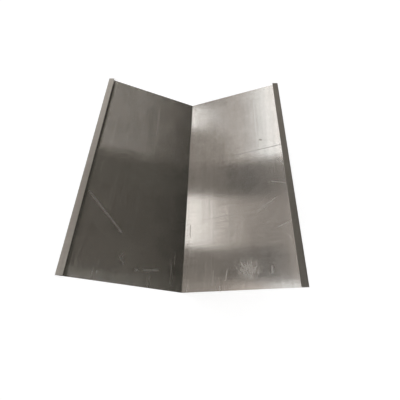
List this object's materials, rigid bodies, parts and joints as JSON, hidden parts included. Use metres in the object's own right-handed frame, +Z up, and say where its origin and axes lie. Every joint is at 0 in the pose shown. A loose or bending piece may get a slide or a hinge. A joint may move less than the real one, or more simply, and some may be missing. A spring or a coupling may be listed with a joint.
{
  "type": "valley flashing",
  "caption": "Sheet metal valley flashing: a shallow V with a 45 degree bend along the crease and an open hem along each outer edge.",
  "frame": {"origin": "on the floor, at the middle of the flashing's box as it lies at rest on its flat wing", "axes": "+Y up the valley along the crease, +Z up, away from the flat wing's underside, +X from the flat wing towards the raised wing"},
  "size_m": [0.8016, 1, 0.334],
  "materials": {
    "sheet_metal": "satin"
  },
  "bodies": {
    "root": {"folded_sheet": "sheet_metal"}
  },
  "joints": []
}
